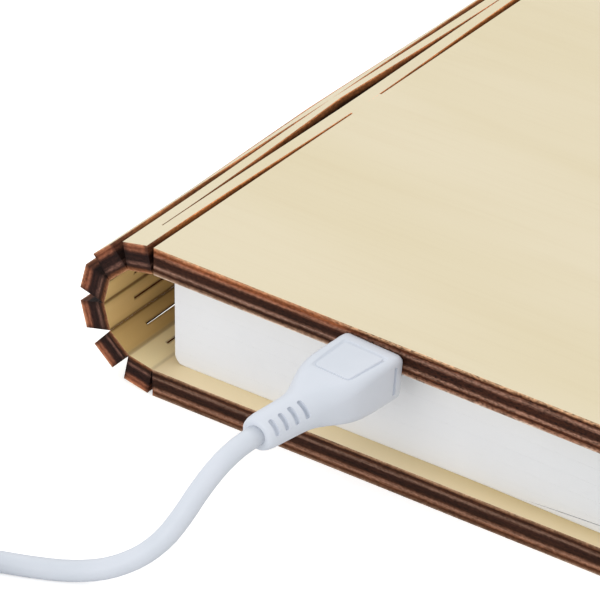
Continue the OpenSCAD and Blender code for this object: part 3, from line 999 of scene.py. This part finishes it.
PLAIN = {
    "magnet": ((205, 205, 208), 0.22, 1), "circuit_green": ((30, 96, 62), 0.4),
    "chip_black": ((34, 34, 36), 0.5), "usb_steel": ((205, 206, 208), 0.25, 1),
    "tray_white": ((234, 234, 232), 0.5), "cell_foil": ((190, 192, 196), 0.35, 0.8),
    "circuit_white": ((240, 240, 237), 0.35), "diode_yellow": ((245, 214, 120), 0.3),
    "screw_steel": ((190, 190, 192), 0.3, 1), "wire_red": ((178, 32, 30), 0.45),
    "insert_white": ((232, 232, 232), 0.4),
}
FINISHES = {name: plain_finish(name, *look) for name, look in PLAIN.items()}
FINISHES["tie_grey"] = new_finish("tie_grey", strap_colour, 0.85, woven_bump, 0.12, specular=0.2)
FINISHES["lead_plastic"] = lead_plastic
print("finishes", sorted(FINISHES))

# %% [markdown]
# The solids' own pieces take the finish of their slot. The charging socket is a copy, whose mouth stands
# back in the cover and whose lower half narrows, as a micro-USB shell does.

# %% Solids' finishes and charging socket
for entry in frame["record"]["subparts"]:
    node = frame["nodes"][entry["node"]]
    if entry["material_slot"] in FINISHES and not node.hide_render:
        dress(node, FINISHES[entry["material_slot"]])

SOCKET_INSET = 1.3 * MM
SOCKET_TAPER = 0.5 * MM
socket = merged_copy("usb_socket", "charging_socket")
for vertex in socket.data.vertices:
    from_middle = vertex.co.x - SOCKET_MID.x
    if vertex.co.y < socket_lo.y + 0.01 * MM:
        vertex.co.y += SOCKET_INSET
    if vertex.co.z < SOCKET_MID.z and abs(from_middle) > 3 * MM:
        vertex.co.x -= copysign(SOCKET_TAPER, from_middle)
dress(socket, FINISHES["usb_steel"])
stands_for(socket, "usb_socket", "front_cover")
print("socket faces", len(socket.data.polygons))

# %% [markdown]
# The micro plug's grip is moulded round the metal shell: a soft-edged block whose shoulders run into a
# round strain relief. It is drawn out through sections, rounded boxes that are nearly square at the
# back and round at the cable.

# %% Micro plug grip
shell_lo, shell_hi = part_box("micro_plug_shell")
SHELL_MID = (shell_lo + shell_hi) / 2
PLUG_RAISED = 0.5 * MM
PLUG_AT = Vector((SHELL_MID.x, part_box("micro_plug_grip")[1].y, SHELL_MID.z + PLUG_RAISED))
PLUG_ROLL = radians(3.5)
DRIFT = tan(radians(-5))
# Each section's way from the back, half width, half height and corner radius.
GRIP_MM = [(0, 4.35, 2.95, 0.7), (0.1, 4.62, 3.2, 0.85), (0.3, 4.85, 3.4, 0.95), (0.6, 4.97, 3.48, 1),
           (1.3, 5, 3.5, 1), (3, 5, 3.5, 1.05), (6, 5, 3.5, 1.15), (8, 4.98, 3.48, 1.35),
           (9.4, 4.86, 3.42, 1.6), (10.6, 4.62, 3.32, 1.9), (11.8, 4.25, 3.2, 2.2), (13, 3.8, 3.06, 2.5),
           (14.2, 3.38, 2.94, 2.7), (15.2, 3.1, 2.86, 2.8), (16.2, 2.93, 2.8, 2.8), (17.4, 2.82, 2.78, 2.78),
           (19, 2.76, 2.76, 2.76), (21.2, 2.7, 2.7, 2.7), (21.9, 2.62, 2.62, 2.62),
           (22.4, 2.46, 2.46, 2.46), (22.7, 2.2, 2.2, 2.2), (22.8, 1.9, 1.9, 1.9)]
SHOULDER = 14 * MM
RELIEF_STEP = Vector(ROUTE_MM[0]) * MM - PLUG_AT


def grip_middle(away):
    """The middle of the section that is this far from the plug's back."""
    end = -RELIEF_STEP.y
    to_relief = smooth_step((away - SHOULDER) / (end - SHOULDER))
    drift = away * DRIFT + (RELIEF_STEP.x - end * DRIFT) * to_relief
    return PLUG_AT + Vector((drift, -away, RELIEF_STEP.z * to_relief))


def rolled(step):
    """A step across the plug, which sits slightly rolled in its socket."""
    return Matrix.Rotation(PLUG_ROLL, 3, "Y") @ step


def on_micro_plug(away, x, z):
    return grip_middle(away * MM) + rolled(Vector((x, 0, z)) * MM)


def lofted(name, sections, place, points=48):
    """A skin through rounded boxes, with the same number of points round each."""
    def ring(away, half_w, half_h, radius):
        radius = min(radius, half_w, half_h)
        for k in range(points):
            a = tau * (k + 0.5) / points
            x = copysign(half_w - radius, cos(a)) + radius * cos(a)
            z = copysign(half_h - radius, sin(a)) + radius * sin(a)
            yield place(away, x, z)

    return skin(name, [ring(*section) for section in sections])


def mm(*sizes):
    return tuple(size * MM for size in sizes)


def cutting_block(middle, size, turned=0, bevel=0):
    """A block to cut with, turned about the plug's own line."""
    block = new_block((0, 0, 0), size)
    if bevel:
        to_mode("EDIT")
        select_points()
        bpy.ops.mesh.bevel(offset=bevel, segments=3)
        to_mode("OBJECT")
    block.rotation_euler = (0, turned, 0)
    block.location = middle
    apply_place()
    return block


def take_out(piece, blocks):
    """Cuts blocks out of a piece at once."""
    pick(*reversed(blocks))
    if len(blocks) > 1:
        bpy.ops.object.join()
    cutter = blocks[0]
    pick(piece)
    cut = piece.modifiers.new("cut", "BOOLEAN")
    cut.object = cutter
    cut.solver = "EXACT"
    bpy.ops.object.modifier_apply(modifier=cut.name)
    bpy.data.objects.remove(cutter)


def finish_cut(piece, node, body, slot):
    """Smooths the piece that was cut last and gives it its finish, node and body."""
    bpy.ops.object.shade_smooth_by_angle(angle=radians(38))
    dress(piece, FINISHES[slot])
    stands_for(piece, node, body)


grip = lofted("plug_grip", GRIP_MM, on_micro_plug)
print("grip's sections", len(GRIP_MM))

# %% [markdown]
# Slots let the relief bend. The block has a panel with a thin groove round it on top and a groove down
# each side. All are cut out with blocks, and so is the shell's recess.

# %% Grip's slots, panel and grooves
SIDES = (1, -1)
# Each slot's way from the plug's back, its turn in degrees and its height.
SLOTS = [(16.85 + 1.6 * n, -40 + 1.5 * n, 2.75 - 0.1 * n) for n in range(4)]
SLOT_W_MM, SLOT_GAP_MM, SLOT_OUT, SLOT_CORNER = 2.1, 0.74, 3 * MM, 0.3 * MM
cuts = []
for away, degrees, height in SLOTS:
    turned = radians(degrees)
    for side in SIDES:
        step = Vector((cos(turned) * side * SLOT_OUT, 0, -sin(turned) * side * SLOT_OUT))
        size = mm(SLOT_W_MM, SLOT_GAP_MM, height)
        cuts.append(cutting_block(grip_middle(away * MM) + step, size, turned, SLOT_CORNER))
# A block less a smaller plate leaves the groove round the panel.
PANEL_AT, PANEL_UP, PANEL_ASIDE, PANEL_CORNER = mm(5.95, 4.25, 0.15, 0.75)
panel = cutting_block((0, 0, 0), mm(8, 8.5, 2), bevel=PANEL_CORNER)
take_out(panel, [cutting_block(mm(0, 0, -1.8), mm(6.8, 7.3, 2.6), bevel=PANEL_CORNER)])
for vertex in panel.data.vertices:
    x, y, z = vertex.co
    narrowed = x * (0.93 + y * 0.07 / (3.75 * MM))
    vertex.co = grip_middle(PANEL_AT - y) + rolled(Vector((narrowed + PANEL_ASIDE, 0, z + PANEL_UP)))
cuts.append(panel)
GROOVE_AT, GROOVE_CORNER = mm(1.9, 0.18)
for side in SIDES:
    middle = grip_middle(GROOVE_AT) + rolled(Vector((side * 5, 0, 0.2)) * MM)
    cuts.append(cutting_block(middle, mm(0.85, 0.55, 4.6), PLUG_ROLL, GROOVE_CORNER))
take_out(grip, cuts)
RECESS = 1.5 * MM
recess = cutting_block(Vector((SHELL_MID.x, shell_lo.y + RECESS / 2, SHELL_MID.z)),
                       (shell_hi.x - shell_lo.x, RECESS + 0.02 * MM, shell_hi.z - shell_lo.z))
take_out(grip, [recess])
finish_cut(grip, "micro_plug_grip", "front_cover", "lead_plastic")
print("grip faces", len(grip.data.polygons))

# %% [markdown]
# The far plug's grip has a cavity for its metal shell, and a woven strap holds the coil. Both are made
# about the origin and then moved to their places on the lead.

# %% Far plug's grip and coil's strap
FAR_GRIP_MM = [(0.02, 1.75, 1.75, 1.75), (0.2, 2, 2, 2), (0.6, 2.12, 2.12, 2.12),
               (4.5, 2.45, 2.45, 2.45), (8.7, 2.75, 2.75, 2.7), (9.2, 3, 2.85, 2.6), (9.8, 3.7, 3.1, 2.5),
               (10.8, 5.2, 3.45, 2.3), (11.8, 6.5, 3.72, 2.15), (12.8, 7.2, 3.85, 2.1), (14, 7.48, 3.9, 2),
               (16, 7.5, 3.9, 2), (29.6, 7.5, 3.9, 2), (30.3, 7.44, 3.84, 1.95),
               (30.8, 7.25, 3.65, 1.8), (31, 7, 3.4, 1.6)]


def straight(away, x, z):
    return Vector((x, away, z)) * MM


far_grip = lofted("far_plug_grip", FAR_GRIP_MM, straight)
far_cuts = [cutting_block(straight(FAR_GRIP_MM[-1][0], 0, 0), mm(12, 4, 4.5))]
far_cuts += [cutting_block(straight(2.2 + 1.5 * n, side * 2.95, 0), mm(1.7, 0.7, 2.4), bevel=0.25 * MM)
             for n in range(4) for side in SIDES]
take_out(far_grip, far_cuts)
ahead = Vector(TAIL_MM[-1]) - Vector(TAIL_MM[-2])
yaw = Matrix.Rotation(atan2(ahead.y, ahead.x) - pi / 2, 4, "Z")
far_grip.data.transform(Matrix.Translation(Vector(TAIL_MM[-1]) * MM) @ yaw)
finish_cut(far_grip, "usb_a_grip", "lead", "lead_plastic")

STRAP_T, STRAP_CORNER, STRAP_TURN = 0.45, 1.5, radians(250)
strap_place = Matrix.Translation(COIL_MID * MM) @ Matrix.Rotation(STRAP_TURN, 4, "Z")
at_origin = [strap_place.inverted() @ v.co / MM for v in frame["nodes"]["cable_tie"].data.vertices]
strap_lo, strap_hi = (Vector(end(p[k] for p in at_origin) for k in range(3)) for end in (min, max))
half = (strap_hi - strap_lo) / 2
strap = lofted("coil_strap", [(y, half.x, half.z, STRAP_CORNER) for y in (-half.y, half.y)], straight)
inner_sizes = (half.x - STRAP_T, half.z - STRAP_T, STRAP_CORNER - 0.4)
inner = lofted("inner", [(y, *inner_sizes) for y in (-half.y - 1, half.y + 1)], straight)
take_out(strap, [inner])
strap.data.transform(strap_place @ Matrix.Translation((strap_lo + strap_hi) / 2 * MM))
finish_cut(strap, "cable_tie", "lead", "tie_grey")
print("far grip and strap", len(far_grip.data.polygons), len(strap.data.polygons), "faces")

# %% [markdown]
# The book doesn't hold the lead. Here are its first point and the points of its path.

# %% The lead's points
tuple(cable_path[0])
[tuple(p) for p in cable_path]

# %% [markdown]
# The book lies on a white table in soft light. Floor and sky are plain white to the camera, and the
# floor still takes the object's shadow.

# %% Table and light
def emptied(owner):
    """The Flow of a material or a world, emptied of its own nodes."""
    owner.use_nodes = True
    owner.node_tree.nodes.clear()
    return Flow(owner.node_tree)


bpy.ops.mesh.primitive_plane_add(size=6, location=(0, 0, -0.02 * MM))
table = bpy.context.object
table.name = "table"
apply_place()
white_table = bpy.data.materials.new("white_table")
flow = emptied(white_table)
matt = flow.node("BsdfDiffuse", Color=(0.82, 0.82, 0.82))
glow = flow.node("Emission", Color=(1, 1, 1), Strength=0.56)
lit = flow.node("AddShader", i0=matt, i1=glow)
both = flow.node("MixShader", i0=flow.node("LightPath"), i1=matt, i2=lit)
flow.node("OutputMaterial", Surface=both)
table.data.materials.append(white_table)

world = bpy.data.worlds.new("white_room")
bpy.context.scene.world = world
flow = emptied(world)
direct, glossy, through = (flow.node("LightPath", output=n) for n in (0, 3, 6))
shown = flow.math("MAXIMUM", direct, flow.math("MAXIMUM", glossy, through))
sky = flow.node("Background", Color=(1, 1, 1), Strength=0.9 + shown * 0.1)
flow.node("OutputWorld", Surface=sky)


def soft_lamp(name, where, aim, size, power):
    bpy.ops.object.light_add(type="AREA", location=where)
    lamp = bpy.context.object
    lamp.name = name
    lamp.data.shape = "DISK"
    lamp.data.size = size
    lamp.data.energy = power
    lamp.rotation_euler = (Vector(aim) - Vector(where)).to_track_quat("-Z", "Y").to_euler()


soft_lamp("key_lamp", (-0.5, 0.35, 0.9), (0, -0.05, 0), 0.7, 0.9)
soft_lamp("fill_lamp", (-0.2, -1.05, 0.3), (-0.05, -0.1, 0.01), 0.6, 1.9)
print("lights ready")
